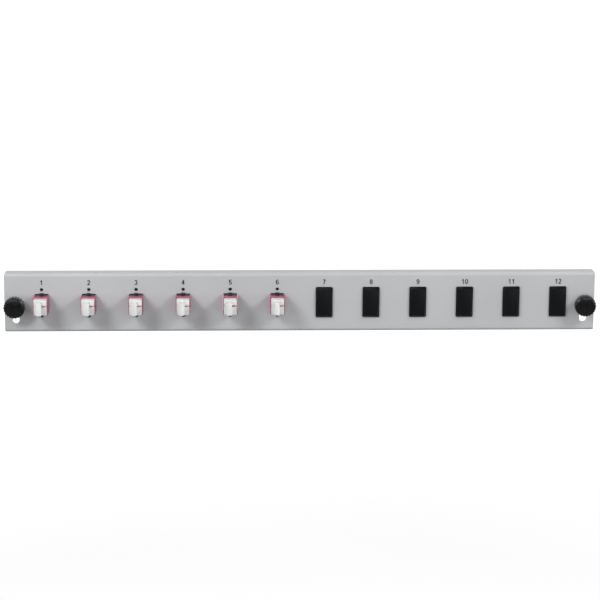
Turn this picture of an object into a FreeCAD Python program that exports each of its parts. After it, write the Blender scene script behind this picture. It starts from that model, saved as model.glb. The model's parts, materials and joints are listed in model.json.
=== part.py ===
# Fibre adapter panel, one rack unit high: a folded steel front plate with twelve numbered
# openings, six fitted with capped LC duplex adapters and six closed by blanking plates,
# and a captive thumb screw at each end.
# Sizes are in millimetres. +X runs to the viewer's right, +Y away from the viewer, +Z up.
# The origin lies midway between the two captive screws, in the plane of the flanges'
# rear edges, which is where the panel seats.

import FreeCAD, Part
import math
import os

# Folded front plate
plate_width = 430.0
plate_height = 43.6
plate_depth = 10.0            # front face to the flanges' rear edges
sheet = 1.5
bend_radius = 0.8             # inside of each fold
plate_corner_radius = 1.2
screw_line_drop = 1.2         # the screws sit this far below the plate's middle

# Row of openings
opening_count = 12
fitted_count = 6              # openings that hold an adapter, counted from the left
row_margin = 27.0             # from the plate's end to the middle of the first opening
opening_corner_radius = 0.6
opening_side_clearance = 0.15
opening_end_clearance = 0.25
fixing_hole_radius = 1.3      # screw holes above and below each opening
fixing_hole_pitch = 19.4

# Adapter housing, two welded halves
body_width = 10.4
body_height = 12.9
body_edge_radius = 0.5
front_reach = 12.0            # from the front face to the mouth
flange_height = 24.0
flange_thickness = 1.2        # of each half
flange_gap = 0.1              # between the flange and the back of the sheet
pilot_radius = 1.2            # screw pilot in the front half's flange

# Ports inside each half
port_pitch = 6.25
port_side = 4.65
port_offset = -1.2            # the ports lie off centre, away from the latch side
port_lead_in = 0.35
partition = 1.2
latch_width = 2.4
latch_height = 2.3
latch_depth = 8.0
latch_catch_width = 3.6
latch_catch_start = 3.0
side_notch_height = 0.8
side_notch_depth = 3.0
holder_radius = 1.55
holder_lip = 0.7
holder_lip_radius = 0.68

# Split sleeves
sleeve_length = 6.8
sleeve_radius = 0.82
sleeve_bore_radius = 0.625
sleeve_slit = 0.3
sleeve_clearance = 0.06
sleeve_end_clearance = 0.1

# Spring clips on the adapter's narrow sides
clip_thickness = 0.25
clip_recess = 0.5
clip_recess_wall = 0.5        # plastic left at each side of the recess
clip_rim = 4.4                # plastic left in front of the recess
clip_clearance = 0.1
clip_root = 1.0               # leaf left in front of the tongue's root
tongue_width = 3.4
tongue_slot = 0.7             # gap cut round the tongue
tongue_catch = 0.7            # how far the tip stands above the opening's edge
tongue_tip_gap = 0.2          # between the tip and the front face
tongue_tip_radius = 0.85

# Dust caps
cap_width = 9.3
cap_height = 11.9
cap_front_width = 9.1
cap_front_height = 10.8
cap_depth = 4.0
cap_corner_radius = 0.8
cap_gap = 0.1                 # between the cap and the housing's mouth
cap_split_height = 1.0
cap_split_rise = 1.0          # from the cap's middle up to the middle of the split
cap_groove_depth = 0.7
grip_width = 3.6
grip_height = 9.4
grip_offset = -0.6            # the grip stands a little to the left of the cap's middle
grip_length = 5.4
grip_edge_radius = 0.5
grip_hollow_radius = 7.0
grip_hollow_depth = 0.45
plug_length = 8.0
plug_clearance = 0.1
plug_edge_radius = 0.4
plug_bore_radius = 1.7
plug_bore_depth = 6.5
key_height = 1.2
key_length = 5.0

# Blanking plates
blank_width = 12.4
blank_height = 22.6
blank_depth = 2.5
blank_edge = 0.8              # straight part of the rim before the bevel starts
blank_bevel = 1.6
blank_corner_radius = 1.0
blank_wall = 1.0
spigot_clearance = 0.1
spigot_length = 2.6
leg_width = 6.0
leg_thickness = 0.9
leg_length = 6.4
barb_height = 0.4
barb_length = 1.6

# Captive thumb screws
screw_inset = 8.0             # from the plate's end to the screw's axis
bush_hole_radius = 4.0
bush_fit = 0.05
bush_flange_radius = 5.5
bush_flange = 1.0
bush_lip_radius = 4.35
bush_lip_end_radius = 3.7
bush_lip = 1.2
bush_bore_clearance = 0.1
slot_width = 5.2
slot_reach = 14.2             # screw axis to the slot's lower end
knob_radius = 7.75
knob_head = 6.0
knob_collar_radius = 4.5
knob_collar = 5.4
knob_gap = 0.1                # between the collar and the bush
knob_edge = 0.9               # bevel round the front
knob_step = 0.12              # from the bevel out to the root of the flutes
knob_dome_radius = 62.0
flute_count = 22
flute_radius = 0.8
flute_depth = 0.42
neck_radius = 2.0
thread_radius = 2.5
thread_reach = 5.0            # how far the tip stands behind the seating plane
thread_chamfer = 0.8
thread_shoulder_gap = 0.3
screw_head_flats = 6.0
screw_head = 4.0
screw_play = 4.8              # how far the screw draws out before the washer stops it
washer_radius = 4.4
washer_thickness = 1.0
washer_clearance = 0.1        # on the neck, and behind the bush when the screw is out

# Places that follow from the sizes
face_y = -plate_depth
sheet_back_y = face_y + sheet
middle_z = screw_line_drop
screw_xs = (-plate_width / 2 + screw_inset, plate_width / 2 - screw_inset)
opening_pitch = (plate_width - 2 * row_margin) / (opening_count - 1)
opening_width = body_width + 2 * opening_side_clearance
opening_height = body_height + 2 * opening_end_clearance
opening_xs = [(i - (opening_count - 1) / 2) * opening_pitch for i in range(opening_count)]
weld_y = sheet_back_y + flange_gap + flange_thickness
half_length = front_reach + sheet + flange_gap + flange_thickness
port_zs = (port_pitch / 2, -port_pitch / 2)
clip_half_width = body_width / 2 - clip_recess_wall
holder_length = sleeve_length / 2 + sleeve_end_clearance + holder_lip
far = 50.0                    # longer than any piece that a cut passes through


def vec(x, y, z):
    return FreeCAD.Vector(x, y, z)


def block(x0, x1, y0, y1, z0, z1):
    return Part.makeBox(x1 - x0, y1 - y0, z1 - z0, vec(x0, y0, z0))


def rod(radius, y0, y1, x=0.0, z=0.0):
    return Part.makeCylinder(radius, y1 - y0, vec(x, y0, z), vec(0, 1, 0))


def rounded_outline(width, height, radius, y, x=0.0, z=0.0):
    # closed rectangle with round corners, in a plane across Y
    edges = []
    ends = []
    for quarter, (side_x, side_z) in enumerate([(1, 1), (-1, 1), (-1, -1), (1, -1)]):
        cx = x + side_x * (width / 2 - radius)
        cz = z + side_z * (height / 2 - radius)
        points = []
        for step in range(3):
            angle = math.radians(90 * quarter + 45 * step)
            points.append(vec(cx + radius * math.cos(angle), y, cz + radius * math.sin(angle)))
        edges.append(Part.Arc(*points).toShape())
        ends.append((points[0], points[2]))
    for quarter in range(4):
        edges.append(Part.makeLine(ends[quarter][1], ends[(quarter + 1) % 4][0]))
    return Part.Wire(Part.__sortEdges__(edges))


def rounded_bar(width, height, radius, y0, y1, x=0.0, z=0.0):
    outline = rounded_outline(width, height, radius, y0, x, z)
    return Part.Face(outline).extrude(vec(0, y1 - y0, 0))


def tapered_block(y0, width0, height0, y1, width1, height1, x=0.0, z=0.0):
    # flat-sided block whose section changes evenly from y0 to y1
    return Part.makeWedge(x - width0 / 2, y0, z - height0 / 2, z - height1 / 2, x - width1 / 2,
                          x + width0 / 2, y1, z + height0 / 2, z + height1 / 2, x + width1 / 2)


def turned(outline):
    # solid turned about the Y axis from points given as radius and y
    points = [vec(radius, y, 0) for radius, y in outline]
    wire = Part.makePolygon(points + points[:1])
    return Part.Face(wire).revolve(vec(0, 0, 0), vec(0, 1, 0), 360)


def edges_along(shape, axis, keep=lambda middle: True):
    # straight edges that run along one axis and whose middle passes the test
    found = []
    for edge in shape.Edges:
        if len(edge.Vertexes) != 2:
            continue
        start, end = edge.Vertexes[0].Point, edge.Vertexes[1].Point
        run = end.sub(start)
        if run.Length > 1e-6 and abs(run.dot(axis)) > 0.999 * run.Length:
            if keep(start.add(end).multiply(0.5)):
                found.append(edge)
    return found


def placed(shape, x, y, z):
    copy = shape.copy()
    copy.translate(vec(x, y, z))
    return copy


def flipped(shape):
    return shape.mirror(vec(0, 0, 0), vec(0, 1, 0))


def end_slot(x):
    # round seat for the bush, with an open slot that runs down from it
    y0, y1 = face_y - far, sheet_back_y + far
    seat = rod(bush_hole_radius, y0, y1, x)
    lower = -slot_reach + slot_width / 2
    slot = block(x - slot_width / 2, x + slot_width / 2, y0, y1, lower, 0)
    return seat.fuse([slot, rod(slot_width / 2, y0, y1, x, lower)])


def front_panel():
    half_width, half_height = plate_width / 2, plate_height / 2
    outer = block(-half_width, half_width, face_y, 0, middle_z - half_height, middle_z + half_height)
    folds = edges_along(outer, vec(1, 0, 0), lambda middle: middle.y < face_y + sheet)
    outer = outer.makeFillet(bend_radius + sheet, folds)
    inner_half = half_height - sheet
    inner = block(-far - half_width, far + half_width, sheet_back_y, far,
                  middle_z - inner_half, middle_z + inner_half)
    folds = edges_along(inner, vec(1, 0, 0), lambda middle: middle.y < sheet_back_y + sheet)
    inner = inner.makeFillet(bend_radius, folds)
    trim = rounded_bar(plate_width, plate_height, plate_corner_radius, face_y - 1, 1, z=middle_z)
    panel = outer.cut(inner).common(trim)
    cuts = [end_slot(x) for x in screw_xs]
    for x in opening_xs:
        cuts.append(rounded_bar(opening_width, opening_height, opening_corner_radius,
                                face_y - 1, sheet_back_y + 1, x, middle_z))
        for side in (-1, 1):
            hole_z = middle_z + side * fixing_hole_pitch / 2
            cuts.append(rod(fixing_hole_radius, face_y - 1, sheet_back_y + 1, x, hole_z))
    return panel.cut(cuts)


def port_cavity(z):
    # one port with its lead-in and latch channel, from the mouth to the partition
    mouth_y = -half_length
    bottom_y = -partition
    port = block(port_offset - port_side / 2, port_offset + port_side / 2, mouth_y - 1, bottom_y,
                 z - port_side / 2, z + port_side / 2)
    wide = port_side + 2 * port_lead_in
    lead_in = tapered_block(mouth_y, wide, wide, mouth_y + port_lead_in, port_side, port_side,
                            port_offset, z)
    latch_x = port_offset + port_side / 2
    channel_end = mouth_y + latch_depth
    channel = block(latch_x - 1, latch_x + latch_height, mouth_y - 1, channel_end,
                    z - latch_width / 2, z + latch_width / 2)
    catch = block(latch_x - 1, latch_x + latch_height, mouth_y + latch_catch_start, channel_end,
                  z - latch_catch_width / 2, z + latch_catch_width / 2)
    return port.fuse([lead_in, channel, catch])


def sleeve_holder(z):
    # tube that stands in the port and keeps one half of a sleeve behind its lip
    return rod(holder_radius, -holder_length, 0, port_offset, z)


def holder_bore(z):
    seat = rod(sleeve_radius + sleeve_clearance, -holder_length + holder_lip, 1, port_offset, z)
    lip = rod(holder_lip_radius, -holder_length - 1, 0, port_offset, z)
    return seat.fuse(lip)


def housing_half(is_front):
    # welded face at y = 0 and mouth towards -Y; the front half also takes the clips' ends
    # and has the screw pilots
    body = rounded_bar(body_width, body_height, body_edge_radius, -half_length, 0)
    flange = rounded_bar(body_width, flange_height, body_edge_radius, -flange_thickness, 0)
    half = body.fuse(flange)
    cuts = [port_cavity(z) for z in port_zs]
    recess_y0 = -half_length + clip_rim
    recess_y1 = 1 if is_front else -flange_thickness
    for side in (-1, 1):
        floor_z = side * (body_height / 2 - clip_recess)
        edge_z = side * body_height / 2
        low, high = min(floor_z, edge_z), max(floor_z, edge_z)
        cuts.append(block(-clip_half_width, clip_half_width, recess_y0, recess_y1, low, high))
        if is_front:
            pilot_z = side * fixing_hole_pitch / 2
            cuts.append(rod(pilot_radius, -flange_thickness - 1, 1, z=pilot_z))
    cuts.append(block(port_offset + port_side / 2, body_width, -half_length - 1,
                      -half_length + side_notch_depth, -side_notch_height / 2, side_notch_height / 2))
    half = half.cut(cuts)
    half = half.fuse([sleeve_holder(z) for z in port_zs])
    return half.cut([holder_bore(z) for z in port_zs]).removeSplitter()


def split_sleeves():
    # a split tube for each port, slit towards the latch side
    tubes = []
    for z in port_zs:
        half = sleeve_length / 2
        tube = rod(sleeve_radius, -half, half, port_offset, z)
        tube = tube.cut(rod(sleeve_bore_radius, -half - 1, half + 1, port_offset, z))
        slit = block(port_offset, port_offset + 2 * sleeve_radius, -half - 1, half + 1,
                     z - sleeve_slit / 2, z + sleeve_slit / 2)
        tubes.append(tube.cut(slit))
    return Part.makeCompound(tubes)


def clip_leaf():
    # flat leaf in the upper recess with a tongue lanced out of it, rising to the front face
    y_front = -half_length + clip_rim + clip_clearance
    y_back = -clip_clearance
    bottom = body_height / 2 - clip_recess + clip_clearance / 2
    half = clip_half_width - clip_clearance
    leaf = block(-half, half, y_front, y_back, bottom, bottom + clip_thickness)
    root_y = y_front + clip_root
    tip_y = -half_length + front_reach - tongue_tip_gap
    slot_half = tongue_width / 2 + tongue_slot
    leaf = leaf.cut(block(-slot_half, slot_half, root_y, tip_y + tongue_slot, bottom - 1, bottom + 1))
    rise = opening_height / 2 + tongue_catch - bottom - clip_thickness
    run = tip_y - root_y
    slope = math.atan2(rise, run)
    tongue = block(-tongue_width / 2, tongue_width / 2, -clip_root / 2, math.hypot(run, rise),
                   0, clip_thickness)
    tip_corners = edges_along(tongue, vec(0, 0, 1), lambda middle: middle.y > 0)
    tongue = tongue.makeFillet(tongue_tip_radius, tip_corners)
    tongue.rotate(vec(0, 0, 0), vec(1, 0, 0), math.degrees(slope))
    tongue = tongue.common(block(-far, far, -far, far, 0, far))
    return leaf.fuse(placed(tongue, 0, root_y, bottom)).removeSplitter()


def spring_clips():
    upper = clip_leaf()
    lower = upper.mirror(vec(0, 0, 0), vec(0, 0, 1))
    return Part.makeCompound([upper, lower])


def cap_plug(z):
    # hollow plug that fills one port, with a key in its latch channel
    side = port_side - 2 * plug_clearance
    plug = rounded_bar(side, side, plug_edge_radius, 0, plug_length, port_offset, z)
    latch_x = port_offset + side / 2
    key_half_width = latch_width / 2 - plug_clearance
    key = block(latch_x - 1, latch_x + key_height, 0, key_length,
                z - key_half_width, z + key_half_width)
    bore = rod(plug_bore_radius, plug_length - plug_bore_depth, plug_length + 1, port_offset, z)
    return plug.fuse(key).cut(bore)


def dust_cap():
    # tapered base over both ports with one tall grip; it lies on the mouth at y = 0
    base = rounded_bar(cap_width, cap_height, cap_corner_radius, -cap_depth, 0)
    taper = tapered_block(-cap_depth, cap_front_width, cap_front_height, 0, cap_width, cap_height)
    base = base.common(taper)
    split_low = cap_split_rise - cap_split_height / 2
    split_high = cap_split_rise + cap_split_height / 2
    split = block(grip_offset + grip_width / 2, far, -far, 1, split_low, split_high)
    groove = block(-far, -cap_width / 2 + cap_groove_depth, -far, 1, split_low, split_high)
    base = base.cut([split, groove])
    grip_tip = -cap_depth - grip_length
    grip = rounded_bar(grip_width, grip_height, grip_edge_radius, grip_tip, -cap_depth + 1, grip_offset)
    hollows = []
    for side in (-1, 1):
        centre_x = grip_offset + side * (grip_width / 2 + grip_hollow_radius - grip_hollow_depth)
        centre_y = -cap_depth - grip_length / 2
        hollows.append(Part.makeCylinder(grip_hollow_radius, 2 * far, vec(centre_x, centre_y, -far)))
    grip = grip.cut(hollows)
    return base.fuse([grip] + [cap_plug(z) for z in port_zs]).removeSplitter()


def blanking_plate():
    # bevelled moulding that covers the opening and its screw holes; its back is at y = 0
    plate = rounded_bar(blank_width, blank_height, blank_corner_radius, -blank_depth, 0)
    bevels = tapered_block(-blank_depth, blank_width - 2 * blank_bevel, blank_height - 2 * blank_bevel,
                           -blank_edge, blank_width, blank_height)
    rim = block(-blank_width, blank_width, -blank_edge, 0, -blank_height, blank_height)
    plate = plate.common(bevels.fuse(rim))
    pocket_width = blank_width - 2 * (blank_bevel + blank_wall)
    pocket_height = blank_height - 2 * (blank_bevel + blank_wall)
    plate = plate.cut(rounded_bar(pocket_width, pocket_height, blank_corner_radius,
                                  -blank_depth + blank_wall, 1))
    width = opening_width - 2 * spigot_clearance
    height = opening_height - 2 * spigot_clearance
    inner_width = width - 2 * leg_thickness
    inner_height = height - 2 * leg_thickness
    top = -blank_depth + blank_wall / 2
    spigot = rounded_bar(width, height, opening_corner_radius, top, spigot_length)
    spigot = spigot.cut(rounded_bar(inner_width, inner_height, opening_corner_radius,
                                    top - 1, spigot_length + 1))
    legs = []
    for side in (-1, 1):
        outer = height / 2 - barb_height
        leg = block(-leg_width / 2, leg_width / 2, 0, leg_length, outer - leg_thickness, outer)
        barb_y = leg_length - barb_length
        barb = Part.Face(Part.makePolygon([
            vec(-leg_width / 2, barb_y, outer), vec(-leg_width / 2, barb_y, outer + barb_height),
            vec(-leg_width / 2, leg_length, outer), vec(-leg_width / 2, barb_y, outer),
        ])).extrude(vec(leg_width, 0, 0))
        leg = leg.fuse(barb)
        if side < 0:
            leg = leg.mirror(vec(0, 0, 0), vec(0, 0, 1))
        legs.append(leg)
    return plate.fuse([spigot] + legs).removeSplitter()


def bush():
    # flanged bush, pressed in from the front and held by its lip behind the sheet
    barrel = bush_hole_radius - bush_fit
    bore = neck_radius + bush_bore_clearance
    lip_start = sheet_back_y + bush_fit
    return turned([
        (bore, face_y - bush_flange), (bush_flange_radius, face_y - bush_flange),
        (bush_flange_radius, face_y), (barrel, face_y), (barrel, lip_start),
        (bush_lip_radius, lip_start), (bush_lip_end_radius, lip_start + bush_lip),
        (bore, lip_start + bush_lip),
    ])


def washer_front():
    # with the screw drawn right out, the washer stops just behind the bush
    return sheet_back_y + bush_fit + bush_lip + washer_clearance + screw_play


def retaining_washer():
    y0 = washer_front()
    inner = neck_radius + washer_clearance
    return turned([(inner, y0), (washer_radius, y0),
                   (washer_radius, y0 + washer_thickness), (inner, y0 + washer_thickness)])


def captive_screw():
    # hexagon head moulded into the knob, plain neck, then the thread with a chamfered tip
    collar_back = face_y - bush_flange - knob_gap
    head_y = collar_back - knob_collar - knob_head / 2 - screw_head / 2
    shoulder = washer_front() + washer_thickness + thread_shoulder_gap
    shank = turned([
        (0, head_y), (neck_radius, head_y), (neck_radius, shoulder),
        (thread_radius, shoulder), (thread_radius, thread_reach - thread_chamfer),
        (thread_radius - thread_chamfer, thread_reach), (0, thread_reach),
    ])
    corner = screw_head_flats / math.sqrt(3)
    points = []
    for k in range(7):
        angle = math.radians(60 * k)
        points.append(vec(corner * math.cos(angle), head_y, corner * math.sin(angle)))
    head = Part.Face(Part.makePolygon(points)).extrude(vec(0, screw_head, 0))
    return shank.fuse(head).removeSplitter()


def thumb_knob():
    # moulded knob with a domed front, a fluted rim and a collar that reaches to the bush
    collar_back = face_y - bush_flange - knob_gap
    head_back = collar_back - knob_collar
    front = head_back - knob_head
    flute_root = knob_radius - flute_depth
    shoulder = flute_root - knob_step
    head = turned([
        (0, front), (shoulder - knob_edge, front), (shoulder, front + knob_edge),
        (knob_radius, front + knob_edge), (knob_radius, head_back), (0, head_back),
    ])
    head = head.common(Part.makeSphere(knob_dome_radius, vec(0, front + knob_dome_radius, 0)))
    flutes = []
    for k in range(flute_count):
        angle = 2 * math.pi * (k + 0.5) / flute_count
        reach = flute_root + flute_radius
        flutes.append(rod(flute_radius, front - 1, head_back + 1,
                          reach * math.cos(angle), reach * math.sin(angle)))
    head = head.cut(flutes)
    knob = head.fuse(rod(knob_collar_radius, head_back, collar_back))
    return knob.cut(captive_screw())


def adapter_nodes(number, x):
    front_mouth = weld_y - half_length - cap_gap
    rear_mouth = weld_y + half_length + cap_gap
    prefix = "adapter_%d_" % number
    return {
        prefix + "front_housing": placed(front_half, x, weld_y, middle_z),
        prefix + "rear_housing": placed(rear_half, x, weld_y, middle_z),
        prefix + "split_sleeves": placed(sleeves, x, weld_y, middle_z),
        prefix + "spring_clips": placed(clips, x, weld_y, middle_z),
        prefix + "front_cap": placed(cap, x, front_mouth, middle_z),
        prefix + "rear_cap": placed(rear_cap, x, rear_mouth, middle_z),
    }


def fastener_nodes(side_name, x):
    return {
        side_name + "_bush": placed(bush(), x, 0, 0),
        side_name + "_retaining_washer": placed(retaining_washer(), x, 0, 0),
        side_name + "_screw": placed(captive_screw(), x, 0, 0),
        side_name + "_knob": placed(thumb_knob(), x, 0, 0),
    }


front_half = housing_half(True)
rear_half = flipped(housing_half(False))
sleeves = split_sleeves()
clips = spring_clips()
cap = dust_cap()
rear_cap = flipped(cap)
blank = blanking_plate()

nodes = {"front_panel": front_panel()}
for index, x in enumerate(opening_xs):
    if index < fitted_count:
        nodes.update(adapter_nodes(index + 1, x))
    else:
        nodes["blanking_plate_%d" % (index + 1)] = placed(blank, x, face_y, middle_z)
for side_name, x in zip(("left", "right"), screw_xs):
    nodes.update(fastener_nodes(side_name, x))

os.makedirs("parts", exist_ok=True)
for name, shape in nodes.items():
    shape.exportStep("parts/%s.step" % name)
    print("%-28s %9.2f mm3  valid %s" % (name, shape.Volume, shape.isValid()))
print(len(nodes), "nodes")
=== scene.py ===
# Looks for the fibre adapter panel: finishes, soft edges, screw threads, printed numbers and studio.
# Everything is in metres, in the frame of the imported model.
import json
import math
import bmesh
import bpy
import numpy as np
from mathutils import Matrix, Vector


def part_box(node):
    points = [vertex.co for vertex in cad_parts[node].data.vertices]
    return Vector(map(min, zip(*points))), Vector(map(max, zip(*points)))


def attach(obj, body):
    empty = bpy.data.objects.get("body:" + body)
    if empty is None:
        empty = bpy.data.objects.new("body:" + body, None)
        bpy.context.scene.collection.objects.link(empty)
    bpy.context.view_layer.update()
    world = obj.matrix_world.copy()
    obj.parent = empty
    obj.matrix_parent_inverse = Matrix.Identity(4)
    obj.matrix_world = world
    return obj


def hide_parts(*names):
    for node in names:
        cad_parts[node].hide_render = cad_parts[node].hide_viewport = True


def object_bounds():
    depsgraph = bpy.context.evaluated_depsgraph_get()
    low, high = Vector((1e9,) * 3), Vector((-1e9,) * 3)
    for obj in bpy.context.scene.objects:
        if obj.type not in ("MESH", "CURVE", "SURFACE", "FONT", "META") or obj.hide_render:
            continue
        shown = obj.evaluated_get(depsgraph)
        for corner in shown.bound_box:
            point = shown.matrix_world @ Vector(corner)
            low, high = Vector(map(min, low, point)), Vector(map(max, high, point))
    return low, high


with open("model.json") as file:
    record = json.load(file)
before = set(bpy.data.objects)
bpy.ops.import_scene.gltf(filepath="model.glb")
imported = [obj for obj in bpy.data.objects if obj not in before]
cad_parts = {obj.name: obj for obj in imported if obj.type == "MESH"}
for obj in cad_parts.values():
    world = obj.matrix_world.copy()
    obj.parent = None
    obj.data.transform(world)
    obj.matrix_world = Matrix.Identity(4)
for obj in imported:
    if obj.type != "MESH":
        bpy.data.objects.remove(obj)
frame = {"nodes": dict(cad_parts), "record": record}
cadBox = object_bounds()
print("frame loaded, box", [[round(v, 4) for v in corner] for corner in cadBox])

mm = 0.001
openingCount = 12
fittedCount = 6      # openings that hold an adapter, counted from the left


class Value:
    # a node's socket that can be used in sums; each operator adds one Math node
    def __init__(self, tree, socket):
        self.tree = tree
        self.socket = socket

    def maths(self, operation, first, second):
        made = self.tree.nodes.new("ShaderNodeMath")
        made.operation = operation
        for place, part in enumerate((first, second)):
            if isinstance(part, Value):
                self.tree.links.new(part.socket, made.inputs[place])
            else:
                made.inputs[place].default_value = part
        return Value(self.tree, made.outputs[0])

    def __add__(self, other):
        return self.maths("ADD", self, other)

    def __mul__(self, other):
        return self.maths("MULTIPLY", self, other)

    def __sub__(self, other):
        return self.maths("SUBTRACT", self, other)

    def __rsub__(self, other):
        return self.maths("SUBTRACT", other, self)

    def __pow__(self, other):
        return self.maths("POWER", self, other)

    __radd__ = __add__
    __rmul__ = __mul__


class Nodes:
    # a node tree under construction
    def __init__(self, tree):
        self.tree = tree

    def node(self, kind, settings, sockets, output=0):
        made = self.tree.nodes.new("ShaderNode" + kind)
        for key, setting in settings.items():
            setattr(made, key, setting)
        for key, value in sockets.items():
            if isinstance(value, Value):
                self.join(value, made.inputs[key])
            else:
                made.inputs[key].default_value = value
        return Value(self.tree, made.outputs[output])

    def join(self, value, socket):
        self.tree.links.new(value.socket, socket)

    def spread(self, value, low, high, start=0.0, end=1.0):
        # start where the value is low, end where it is high, even in between
        return self.node("MapRange", {}, {"Value": value, "From Min": low, "From Max": high,
                                          "To Min": start, "To Max": end})

    def blended(self, mask, under, over):
        # colour over laid on colour under where the mask is 1
        return self.node("Mix", {"data_type": "RGBA"}, {0: mask, 6: under, 7: over}, 2)

    def part(self, vector, axis):
        return self.node("SeparateXYZ", {}, {"Vector": vector}, axis)

    def ray(self, kind):
        # 1 for rays of that kind
        return self.node("LightPath", {}, {}, "Is %s Ray" % kind)


class Finish(Nodes):
    # a material round one Principled shader; plain numbers go on the shader's own sockets
    def __init__(self, name, look, **plain):
        self.material = bpy.data.materials.new(name)
        self.material.use_nodes = True
        Nodes.__init__(self, self.material.node_tree)
        self.shader = self.tree.nodes["Principled BSDF"]
        self.shader.inputs["Base Color"].default_value = (*look["colour"], 1.0)
        self.shader.inputs["Roughness"].default_value = look["roughness"]
        for key, number in plain.items():
            self.shader.inputs[key.replace("_", " ")].default_value = number
        self.place = self.node("TexCoord", {}, {}, "Object")

    def noise(self, size, detail=2.0, roughness=0.5, stretch=None):
        # size is the width of one blob in metres; stretch squeezes the pattern along each axis
        place = self.place
        if stretch:
            place = self.node("Mapping", {}, {"Vector": place, "Scale": stretch})
        return self.node("TexNoise", {}, {"Vector": place, "Scale": 1.0 / size, "Detail": detail,
                                          "Roughness": roughness})

    def feed(self, socket, value):
        self.join(value, self.shader.inputs[socket])

    def tint(self, pattern, shades):
        # from the darker to the lighter shade over a pattern of 0 to 1
        dark, light = ((*shade, 1.0) for shade in shades)
        return self.blended(pattern, dark, light)

    def bump(self, height, distance):
        self.feed("Normal", self.node("Bump", {}, {"Height": height, "Distance": distance}))


def tones(look):
    # a finish's darker and lighter shade: its colour times each of its two factors
    return [tuple(channel * factor for channel in look["colour"]) for factor in look["factors"]]


# Finishes. Colours are linear. "roughness" is the plain value and "rough" its range over the surface;
# "relief" is the height of the bumps. Noise mostly fills the middle of its range:
grainMiddle = (0.3, 0.7)
cloudMiddle = (0.35, 0.65)

coat = {
    "colour": (0.500, 0.512, 0.522), "factors": (0.96, 1.03), "roughness": 0.46, "rough": (0.42, 0.52),
    "peel": 0.55 * mm, "grain": 0.12 * mm, "relief": 0.012 * mm, "cloud": 60 * mm,
    "mark": 7 * mm, "markRange": (0.60, 0.72), "markShine": 0.08,
}


def powderCoat():
    # orange peel and fine grain, faint clouds in the tone, and a few rubbed marks
    made = Finish("powderCoat", coat, Specular_IOR_Level=0.4)
    peel = made.noise(coat["peel"], detail=1.0)
    grain = made.noise(coat["grain"])
    cloud = made.noise(coat["cloud"], detail=3.0) * 0.8 + grain * 0.2
    smear = made.noise(coat["mark"], detail=4.0, roughness=0.6, stretch=(0.25, 1.0, 1.0))
    marks = made.spread(smear, *coat["markRange"])
    made.feed("Base Color", made.tint(made.spread(cloud, *cloudMiddle), tones(coat)))
    made.feed("Roughness", made.spread(grain, *grainMiddle, *coat["rough"]) - marks * coat["markShine"])
    made.bump(peel * 0.7 + grain * 0.3, coat["relief"])
    return made.material


violet = {
    "colour": (0.434, 0.098, 0.178), "factors": (0.9, 1.06), "roughness": 0.42, "rough": (0.36, 0.48),
    "spark": 0.09 * mm, "relief": 0.006 * mm, "flow": 5 * mm,
    # the screw pilots' radius, and the nearly black colour painted into them as shade
    "pilotRadius": 1.2 * mm, "pilotPitch": 19.4 * mm, "paintedPilotShade": (0.012, 0.010, 0.009),
    "rimShares": (1.05, 0.98),                   # of the radius: where the painted shade starts and is full
    "weldGaps": (0.1 * mm, 0.05 * mm),           # the same, measured from the rear half's face
}


def inPilots(made):
    # mask of painted shade: 1 inside the screw pilots of the front halves, whose colour is painted dark
    # as shade: the row's pattern folded onto one opening, then the distance from the pilots' axes, which
    # lie pilotPitch apart above and below the row
    low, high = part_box("adapter_1_front_housing")
    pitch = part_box("adapter_2_front_housing")[0].x - low.x
    centreX, centreZ = (low.x + high.x) / 2, (low.z + high.z) / 2
    x, y, z = (made.part(made.place, axis) for axis in "XYZ")
    across = made.node("Math", {"operation": "WRAP"}, {0: x - centreX, 1: pitch / 2, 2: -pitch / 2})
    along = made.node("Math", {"operation": "ABSOLUTE"}, {0: z - centreZ}) - violet["pilotPitch"] / 2
    away = (across ** 2 + along ** 2) ** 0.5
    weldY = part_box("adapter_1_rear_housing")[0].y
    inFront = made.spread(y, *(weldY + gap for gap in violet["weldGaps"]))
    return made.spread(away, *(violet["pilotRadius"] * share for share in violet["rimShares"])) * inFront


def violetPlastic():
    # moulding with a light spark-eroded grain and flow lines; shade is painted nearly black inside its
    # screw pilots
    made = Finish("violetPlastic", violet)
    grain = made.noise(violet["spark"])
    flow = made.noise(violet["flow"], stretch=(1.0, 0.3, 1.0))
    tint = made.tint(made.spread(flow, *cloudMiddle), tones(violet))
    # painted shade: the screw pilots' insides take the nearly black pilot colour
    made.feed("Base Color", made.blended(inPilots(made), tint, (*violet["paintedPilotShade"], 1.0)))
    made.feed("Roughness", made.spread(grain, *grainMiddle, *violet["rough"]))
    made.bump(grain, violet["relief"])
    return made.material


capWhite = {
    "colour": (0.77, 0.77, 0.76), "factors": (0.95, 1.02), "roughness": 0.45, "rough": (0.40, 0.52),
    "spark": 0.1 * mm, "relief": 0.005 * mm, "flow": 6 * mm,
}


def whiteCapPlastic():
    # soft white moulding, slightly greyer in its flow lines
    made = Finish("whiteCapPlastic", capWhite)
    grain = made.noise(capWhite["spark"])
    flow = made.noise(capWhite["flow"])
    made.feed("Base Color", made.tint(made.spread(flow, *cloudMiddle), tones(capWhite)))
    made.feed("Roughness", made.spread(grain, *grainMiddle, *capWhite["rough"]))
    made.bump(grain, capWhite["relief"])
    return made.material


blankBlack = {
    "colour": (0.0035, 0.0040, 0.0048), "factors": (1.0, 1.7), "roughness": 0.5, "rough": (0.27, 0.38),
    "spark": 0.14 * mm, "relief": 0.01 * mm,
    "rub": 4 * mm, "rubRange": (0.55, 0.75), "rubShine": 0.08,
}


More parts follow.
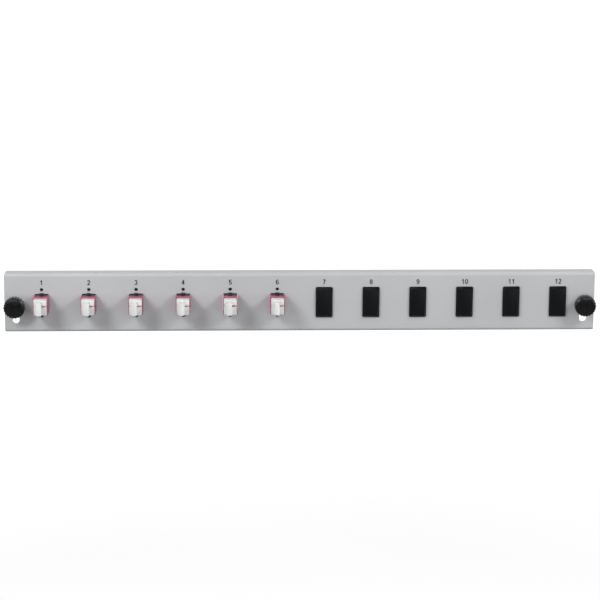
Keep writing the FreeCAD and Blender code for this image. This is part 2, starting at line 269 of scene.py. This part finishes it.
def blankPlastic():
    # black moulding with a spark-eroded face and faint rub marks
    made = Finish("blankPlastic", blankBlack, Specular_IOR_Level=0.2)
    grain = made.noise(blankBlack["spark"], detail=3.0)
    smear = made.noise(blankBlack["rub"], detail=4.0, roughness=0.6, stretch=(1.0, 1.0, 0.3))
    rub = made.spread(smear, *blankBlack["rubRange"])
    made.feed("Base Color", made.tint(rub, tones(blankBlack)))
    shine = rub * blankBlack["rubShine"]
    made.feed("Roughness", made.spread(grain, *grainMiddle, *blankBlack["rough"]) - shine)
    made.bump(grain, blankBlack["relief"])
    return made.material


knobBlack = {
    "colour": (0.0022, 0.0022, 0.0026), "factors": (1.0, 2.0), "roughness": 0.14, "rough": (0.10, 0.24),
    "print": 2.5 * mm, "printRange": (0.4, 0.7), "greaseRange": (0.35, 0.7), "relief": 0.004 * mm,
    "scratch": 0.5 * mm, "scratchRange": (0.58, 0.7), "scratchMatt": 0.1,
}


def knobPlastic():
    # polished black moulding with finger marks and hairline scratches
    made = Finish("knobPlastic", knobBlack, Specular_IOR_Level=0.5)
    marks = made.noise(knobBlack["print"], detail=4.0, roughness=0.6)
    grease = made.spread(marks, *knobBlack["greaseRange"], *knobBlack["rough"])
    hairs = made.noise(knobBlack["scratch"], detail=3.0, stretch=(1.0, 1.0, 0.1))
    matt = made.spread(hairs, *knobBlack["scratchRange"]) * knobBlack["scratchMatt"]
    made.feed("Base Color", made.tint(made.spread(marks, *knobBlack["printRange"]), tones(knobBlack)))
    made.feed("Roughness", grease + matt)
    made.bump(marks, knobBlack["relief"])
    return made.material


clipLook = {
    "colour": (0.09, 0.08, 0.08), "factors": (0.7, 1.2), "roughness": 0.3, "rough": (0.22, 0.4),
    "line": 0.05 * mm, "relief": 0.002 * mm, "oil": 1.5 * mm,
}


def clipSteel():
    # rolled spring strip: fine lines along its length, darker with oil in places
    made = Finish("clipSteel", clipLook, Metallic=1.0)
    lines = made.noise(clipLook["line"], stretch=(1.0, 0.04, 1.0))
    oil = made.noise(clipLook["oil"], detail=3.0) * 0.6 + lines * 0.4
    made.feed("Base Color", made.tint(made.spread(oil, *cloudMiddle), tones(clipLook)))
    made.feed("Roughness", made.spread(lines, *grainMiddle, *clipLook["rough"]))
    made.bump(lines, clipLook["relief"])
    return made.material


screwLook = {
    "colour": (0.60, 0.60, 0.58), "shades": ((0.50, 0.51, 0.52), (0.68, 0.67, 0.63)),
    "roughness": 0.3, "rough": (0.22, 0.42),
    "turning": 0.06 * mm, "relief": 0.002 * mm, "cloud": 1.8 * mm,
}


def screwSteel():
    # bright zinc plating, cloudy, with turning marks round the axis along Y
    made = Finish("screwSteel", screwLook, Metallic=1.0)
    turning = made.noise(screwLook["turning"], stretch=(0.06, 1.0, 0.06))
    cloud = made.noise(screwLook["cloud"], detail=3.0)
    made.feed("Base Color", made.tint(made.spread(cloud, *cloudMiddle), screwLook["shades"]))
    made.feed("Roughness", made.spread(turning * 0.5 + cloud * 0.5, *grainMiddle, *screwLook["rough"]))
    made.bump(turning, screwLook["relief"])
    return made.material


sleeveLook = {
    "colour": (0.80, 0.79, 0.75), "shades": ((0.76, 0.75, 0.71), (0.83, 0.82, 0.78)),
    "roughness": 0.12, "rough": (0.10, 0.18), "grind": 0.05 * mm, "cloud": 1.0 * mm,
}


def sleeveCeramic():
    # ground and polished zirconia, hardly marked
    made = Finish("sleeveCeramic", sleeveLook)
    grind = made.noise(sleeveLook["grind"], detail=1.0, stretch=(1.0, 0.1, 1.0))
    made.feed("Base Color", made.tint(made.noise(sleeveLook["cloud"]), sleeveLook["shades"]))
    made.feed("Roughness", made.spread(grind, *grainMiddle, *sleeveLook["rough"]))
    return made.material


washerLook = {
    "colour": (0.62, 0.60, 0.54), "shades": ((0.56, 0.54, 0.48), (0.68, 0.66, 0.60)),
    "roughness": 0.5, "rough": (0.42, 0.58), "cloud": 1.2 * mm, "grain": 0.15 * mm, "relief": 0.006 * mm,
}


def washerNylon():
    # natural nylon, cloudy and a little waxy
    made = Finish("washerNylon", washerLook)
    cloud = made.noise(washerLook["cloud"], detail=3.0)
    made.feed("Base Color", made.tint(cloud, washerLook["shades"]))
    made.feed("Roughness", made.spread(cloud, *grainMiddle, *washerLook["rough"]))
    made.bump(made.noise(washerLook["grain"]), washerLook["relief"])
    return made.material


inkLook = {
    "colour": (0.016, 0.017, 0.019), "shades": ((0.013, 0.014, 0.016), (0.028, 0.029, 0.032)),
    "roughness": 0.6, "rough": (0.5, 0.7), "cover": 0.25 * mm, "coverRange": (0.4, 0.7),
}


def numberInk():
    # screen-printed dark grey ink, slightly uneven
    made = Finish("numberInk", inkLook)
    cover = made.noise(inkLook["cover"], detail=3.0)
    made.feed("Base Color", made.tint(made.spread(cover, *inkLook["coverRange"]), inkLook["shades"]))
    made.feed("Roughness", made.spread(cover, *grainMiddle, *inkLook["rough"]))
    return made.material


finishes = {
    "powder_coat": powderCoat(), "violet_plastic": violetPlastic(), "white_plastic": whiteCapPlastic(),
    "black_plastic": blankPlastic(), "spring_steel": clipSteel(), "screw_steel": screwSteel(),
    "sleeve_ceramic": sleeveCeramic(), "nylon": washerNylon(),
}
knobMaterial = knobPlastic()
inkMaterial = numberInk()
slotOf = {part["node"]: part["material_slot"] for part in frame["record"]["subparts"]}
bodyOf = {node: body for body, nodes in frame["record"]["behaviour"]["bodies"].items() for node in nodes}


def finishOf(name):
    return knobMaterial if name.endswith("_knob") else finishes[slotOf[name]]


for name in slotOf:
    for place in frame["nodes"][name].material_slots:
        place.material = finishOf(name)
print("finishes on", len(slotOf), "nodes")


def placed(name, data):
    made = bpy.data.objects.new(name, data)
    bpy.context.scene.collection.objects.link(made)
    return made


def piece(name, mesh, body, material):
    mesh.materials.clear()
    mesh.materials.append(material)
    made = placed(name, mesh)
    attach(made, body)
    return made


# Small edge radii of the moulded pieces. Angles are in degrees.
softEdges = {
    "mergeWithin": 0.001 * mm, "flatAngle": 0.5, "sharpAngle": 28, "segments": 2,
    "radii": {"front_cap": 0.22 * mm, "rear_cap": 0.22 * mm, "front_housing": 0.12 * mm,
              "rear_housing": 0.12 * mm, "blanking_plate": 0.18 * mm, "knob": 0.12 * mm},
}


def softened(name, radius):
    # copy of a solid with its facets joined into whole faces and its sharp edges rounded
    built = bmesh.new()
    built.from_mesh(frame["nodes"][name].data)
    bmesh.ops.remove_doubles(built, verts=built.verts, dist=softEdges["mergeWithin"])
    flat = math.radians(softEdges["flatAngle"])
    bmesh.ops.dissolve_limit(built, angle_limit=flat, verts=built.verts, edges=built.edges)
    mesh = bpy.data.meshes.new(name + "_soft")
    built.to_mesh(mesh)
    built.free()
    mesh.shade_smooth()
    made = piece(name + "_soft", mesh, bodyOf[name], finishOf(name))
    rounding = made.modifiers.new("rounding", "BEVEL")
    rounding.width = radius
    rounding.segments = softEdges["segments"]
    rounding.limit_method = "ANGLE"
    rounding.angle_limit = math.radians(softEdges["sharpAngle"])
    rounding.harden_normals = True
    rounding.use_clamp_overlap = True
    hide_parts(name)


for name in slotOf:
    for kind, radius in softEdges["radii"].items():
        if kind in name:
            softened(name, radius)
print("edges softened")


# Screw threads. The shares are of one pitch.
thread = {
    "pitch": 0.8 * mm, "rootRadius": 2.05 * mm, "crestRadius": 2.5 * mm, "crestShare": 0.15,
    "rootShare": 0.12, "chamfer": 0.8 * mm, "neckRadius": 2.0 * mm, "shoulderGap": 0.3 * mm,
    "headFlats": 6.0 * mm, "headLength": 4.0 * mm, "columns": 60, "rowsPerTurn": 16, "sharpAngle": 40,
}


def ringedSurface(centreX, heights, radii):
    # closed surface about an axis along Y; row i of radii goes round at heights[i], poles at both ends
    rows, columns = radii.shape
    angle = 2 * np.pi * np.arange(columns) / columns
    x = centreX + radii * np.cos(angle)
    z = radii * np.sin(angle)
    y = np.broadcast_to(heights[:, None], radii.shape)
    corners = np.stack([x, y, z], axis=2).reshape(-1, 3)
    poles = np.array([[centreX, heights[0], 0.0], [centreX, heights[-1], 0.0]])
    index = np.arange(rows * columns).reshape(rows, columns)
    after = np.roll(index, -1, axis=1)
    walls = np.stack([index[:-1], index[1:], after[1:], after[:-1]], axis=2).reshape(-1, 4)
    nearPole = np.full(columns, rows * columns)
    front = np.stack([nearPole, index[0], after[0]], axis=1)
    back = np.stack([nearPole + 1, after[-1], index[-1]], axis=1)
    mesh = bpy.data.meshes.new("ringed")
    faces = walls.tolist() + front.tolist() + back.tolist()
    mesh.from_pydata(np.concatenate([corners, poles]).tolist(), [], faces)
    mesh.shade_smooth()
    mesh.set_sharp_from_angle(angle=math.radians(thread["sharpAngle"]))
    return mesh


def threadedScrew(side):
    name = side + "_screw"
    low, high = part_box(name)
    headStart, tip = low.y, high.y
    headEnd = headStart + thread["headLength"]
    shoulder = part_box(side + "_retaining_washer")[1].y + thread["shoulderGap"]
    columns = thread["columns"]
    angle = 2 * np.pi * np.arange(columns) / columns
    # hexagon: half the flats over the cosine of the angle from the nearest flat's middle
    sixth = np.pi / 3
    hexagon = thread["headFlats"] / 2 / np.cos(angle % sixth - sixth / 2)
    neck = np.full(columns, thread["neckRadius"])
    turns = (tip - shoulder) / thread["pitch"]
    y = np.linspace(shoulder, tip, int(turns * thread["rowsPerTurn"]))[:, None]
    # ridge: a triangle wave of the turns made along the thread, with its crest and root cut flat;
    # it grows over the first turn, and the tip's cone cuts it off
    wave = 1 - np.abs(2 * ((y / thread["pitch"] + angle / (2 * np.pi)) % 1) - 1)
    slope = 1 - thread["crestShare"] - thread["rootShare"]
    ridge = np.clip((wave - thread["rootShare"]) / slope, 0, 1)
    ridge = ridge * np.clip((y - shoulder) / thread["pitch"], 0, 1)
    threaded = thread["rootRadius"] + (thread["crestRadius"] - thread["rootRadius"]) * ridge
    cone = thread["crestRadius"] - thread["chamfer"] + (tip - y)
    radii = np.concatenate([[hexagon, hexagon, neck, neck], np.minimum(threaded, cone)])
    heights = np.concatenate([[headStart, headEnd, headEnd, shoulder], y[:, 0]])
    mesh = ringedSurface((low.x + high.x) / 2, heights, radii)
    made = piece(name + "_thread", mesh, bodyOf[name], finishes["screw_steel"])
    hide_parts(name)


for side in ("left", "right"):
    threadedScrew(side)
print("threads cut")


# Printed numbers over the openings. A figure's strokes are centre lines in a unit-high box, x to
# the right of its middle; strokeWidth and advance are in the same unit.
numbers = {
    "height": 3.6 * mm, "aboveOpenings": 15.0 * mm, "film": 0.03 * mm,
    "strokeWidth": 0.19, "advance": 0.72, "arcPoints": 33, "bendPoints": 13,
}


def line(*points):
    return np.array(points, float)


def arc(x, y, radiusX, radiusY, start, stop):
    # part of an ellipse about x, y, from the start to the stop angle in degrees
    angle = np.radians(np.linspace(start, stop, numbers["arcPoints"]))
    return np.stack([x + radiusX * np.cos(angle), y + radiusY * np.sin(angle)], axis=1)


def bend(start, pull, stop):
    # curve from start to stop, drawn towards pull
    t = np.linspace(0, 1, numbers["bendPoints"])[:, None]
    return (1 - t) ** 2 * line(start) + 2 * t * (1 - t) * line(pull) + t ** 2 * line(stop)


figures = {
    "0": [arc(0, 0.5, 0.23, 0.425, 0, 360)],
    "1": [line((0.06, 0), (0.06, 1)), bend((0.02, 0.93), (-0.06, 0.78), (-0.21, 0.72))],
    "2": [np.concatenate([arc(0, 0.69, 0.215, 0.235, 168, -28), line((-0.19, 0.1))]),
          line((-0.27, 0.075), (0.27, 0.075))],
    "3": [arc(-0.01, 0.71, 0.19, 0.215, 165, -85), arc(0, 0.29, 0.22, 0.215, 85, -165)],
    "4": [line((0.11, 0), (0.11, 1)), line((0.1, 0.95), (-0.25, 0.31)), line((-0.3, 0.3), (0.28, 0.3))],
    "5": [line((0.23, 0.925), (-0.13, 0.925)), line((-0.13, 0.96), (-0.19, 0.45)),
          arc(0, 0.325, 0.22, 0.25, 142, -160)],
    "6": [arc(0.005, 0.315, 0.22, 0.24, 0, 360), arc(0.035, 0.47, 0.25, 0.455, 190, 48)],
    "7": [line((-0.26, 0.925), (0.26, 0.925)), bend((0.22, 0.9), (-0.04, 0.55), (-0.07, 0))],
    "8": [arc(0, 0.72, 0.185, 0.205, 0, 360), arc(0, 0.295, 0.225, 0.22, 0, 360)],
    "9": [arc(-0.005, 0.685, 0.22, 0.24, 0, 360), arc(-0.035, 0.53, 0.25, 0.455, 10, -132)],
}


def strip(path, half):
    # flat closed strip along a path: four corners at each point, left and right of it on the
    # film's face (depth 1) and on its back (depth -1); the sides meet in mitres
    closed = np.allclose(path[0], path[-1])
    runs = np.diff(path, axis=0)
    runs /= np.linalg.norm(runs, axis=1, keepdims=True)
    sides = np.stack([-runs[:, 1], runs[:, 0]], axis=1)
    before = np.concatenate([sides[-1:] if closed else sides[:1], sides])
    after = np.concatenate([sides, sides[:1] if closed else sides[-1:]])
    mitre = before + after
    mitre *= half / (mitre * before).sum(axis=1, keepdims=True)
    flat = np.stack([path + mitre, path - mitre, path - mitre, path + mitre], axis=1)
    depth = np.broadcast_to([[[1.0], [1.0], [-1.0], [-1.0]]], (len(path), 4, 1))
    corners = np.concatenate([flat, depth], axis=2)
    if closed:
        corners = corners[:-1]
    index = np.arange(len(corners) * 4).reshape(-1, 4)
    follow = np.roll(index, -1, axis=0)
    if not closed:
        index, follow = index[:-1], follow[:-1]
    walls = [np.stack([index[:, k], index[:, (k + 1) % 4], follow[:, (k + 1) % 4], follow[:, k]], axis=1)
             for k in range(4)]
    faces = np.concatenate(walls)
    if not closed:
        faces = np.concatenate([faces, index[:1, ::-1], follow[-1:]])
    return corners.reshape(-1, 3), faces


def printedNumber(number, centreX, centreZ, faceY):
    corners, faces, count = [], [], 0
    shown = str(number)
    for place, figure in enumerate(shown):
        shift = (place - (len(shown) - 1) / 2) * numbers["advance"]
        for stroke in figures[figure]:
            stripCorners, stripFaces = strip(stroke, numbers["strokeWidth"] / 2)
            stripCorners[:, 0] += shift
            corners.append(stripCorners)
            faces.append(stripFaces + count)
            count += len(stripCorners)
    points = np.concatenate(corners)
    x = centreX + points[:, 0] * numbers["height"]
    z = centreZ + (points[:, 1] - 0.5) * numbers["height"]
    y = faceY - points[:, 2] * numbers["film"]
    name = "number_%d" % number
    mesh = bpy.data.meshes.new(name)
    mesh.from_pydata(np.stack([x, y, z], axis=1).tolist(), [], np.concatenate(faces).tolist())
    piece(name, mesh, "panel", inkMaterial)


def openingCentre(number):
    name = "adapter_%d_front_housing" % number if number <= fittedCount else "blanking_plate_%d" % number
    low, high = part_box(name)
    return (low.x + high.x) / 2, (low.z + high.z) / 2


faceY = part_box("front_panel")[0].y
for number in range(1, openingCount + 1):
    centreX, centreZ = openingCentre(number)
    printedNumber(number, centreX, centreZ + numbers["aboveOpenings"], faceY)
print("numbers printed")


# Studio: camera, lamps, world and floor. Angles are in radians.
camera = {"place": (-0.0542, -1.510, 0.3637), "lens": 127.12, "sensor": 36.0,
          "turn": 0.03578, "tilt": 0.23601, "roll": 0.00505}


def makeCamera():
    # forward leans right by turn and down by tilt; roll lifts the right side of the picture
    data = bpy.data.cameras.new("camera")
    data.lens = camera["lens"]
    data.sensor_width = camera["sensor"]
    turn, tilt, roll = camera["turn"], camera["tilt"], camera["roll"]
    forward = Vector((math.sin(turn) * math.cos(tilt), math.cos(turn) * math.cos(tilt), -math.sin(tilt)))
    right = Vector((math.cos(turn), -math.sin(turn), 0.0))
    up = right.cross(forward)
    rolledRight = right * math.cos(roll) + up * math.sin(roll)
    rolledUp = up * math.cos(roll) - right * math.sin(roll)
    axes = Matrix((rolledRight, rolledUp, -forward)).transposed().to_4x4()
    made = placed("camera", data)
    made.matrix_world = Matrix.Translation(Vector(camera["place"])) @ axes
    bpy.context.scene.camera = made


lamps = {
    "leftLamp": {"place": (-0.60, -0.61, 0.57), "size": 0.36, "power": 4.4},
    "rightLamp": {"place": (0.66, -0.55, 0.57), "size": 0.27, "power": 3.55},
    "topLamp": {"place": (0.05, -0.42, 1.62), "size": 0.26, "power": 1.8},
}


def makeLamp(name, values):
    # a round lamp that points at the middle of the panel
    data = bpy.data.lights.new(name, "AREA")
    data.shape = "DISK"
    data.size = values["size"]
    data.energy = values["power"]
    place = Vector(values["place"])
    facing = (-place).to_track_quat("-Z", "Y").to_matrix().to_4x4()
    placed(name, data).matrix_world = Matrix.Translation(place) @ facing


surround = {"horizon": 1.58, "fade": 1.5, "white": 1.0, "backRange": (-0.1, 0.3)}


def makeWorld():
    # soft light that fades from the horizon up to nothing overhead; the camera, and mirror rays
    # that run to the back, see plain white
    world = bpy.data.worlds.new("studio")
    world.use_nodes = True
    bpy.context.scene.world = world
    made = Nodes(world.node_tree)
    place = made.node("TexCoord", {}, {}, "Generated")
    behind = made.spread(made.part(place, "Y"), *surround["backRange"])
    low = made.spread(made.part(place, "Z"), 0.0, 1.0, 1.0, 0.0)      # 1 at the horizon and below
    sky = low ** surround["fade"] * surround["horizon"]
    white = made.ray("Camera") + (made.ray("Glossy") + made.ray("Transmission")) * behind
    background = world.node_tree.nodes["Background"]
    background.inputs["Color"].default_value = (1.0, 1.0, 1.0, 1.0)
    made.join(sky + white * (surround["white"] - sky), background.inputs["Strength"])


floorPlan = {"drop": 0.30, "half": 6.0, "colour": (0.35, 0.35, 0.35, 1.0), "roughness": 0.9,
             "lift": 0.77, "fadeRange": (0.5, 1.4), "backRange": (0.0, 0.3)}


def makeFloor():
    # pale matt floor, seen from above only; the camera sees it lifted to white, with the object's
    # shadow left near the object
    half, z = floorPlan["half"], cadBox[0].z - floorPlan["drop"]
    mesh = bpy.data.meshes.new("floor")
    mesh.from_pydata([(-half, -half, z), (half, -half, z), (half, half, z), (-half, half, z)],
                     [], [(0, 1, 2, 3)])
    material = bpy.data.materials.new("floorWhite")
    material.use_nodes = True
    made = Nodes(material.node_tree)
    shader = made.tree.nodes["Principled BSDF"]
    shader.inputs["Base Color"].default_value = floorPlan["colour"]
    shader.inputs["Roughness"].default_value = floorPlan["roughness"]
    shader.inputs["Specular IOR Level"].default_value = 0.0
    shader.inputs["Emission Strength"].default_value = 1.0
    place = made.node("TexCoord", {}, {}, "Object")
    away = made.node("VectorMath", {"operation": "LENGTH"}, {0: place}, "Value")
    lift = made.spread(away, *floorPlan["fadeRange"], floorPlan["lift"], 1.0)
    behind = made.spread(made.part(place, "Y"), *floorPlan["backRange"])
    glow = (made.ray("Camera") + made.ray("Glossy") * behind) * lift
    made.join(made.node("CombineColor", {}, {0: glow, 1: glow, 2: glow}), shader.inputs["Emission Color"])
    under = made.node("NewGeometry", {}, {}, "Backfacing")
    clear = made.node("BsdfTransparent", {}, {})
    both = made.node("MixShader", {}, {0: under, 1: Value(made.tree, shader.outputs[0]), 2: clear})
    made.join(both, made.tree.nodes["Material Output"].inputs["Surface"])
    mesh.materials.append(material)
    placed("floor", mesh)


makeCamera()
for lampName, lampValues in lamps.items():
    makeLamp(lampName, lampValues)
makeWorld()
makeFloor()
bpy.context.scene.view_settings.view_transform = "Standard"
print("studio made")
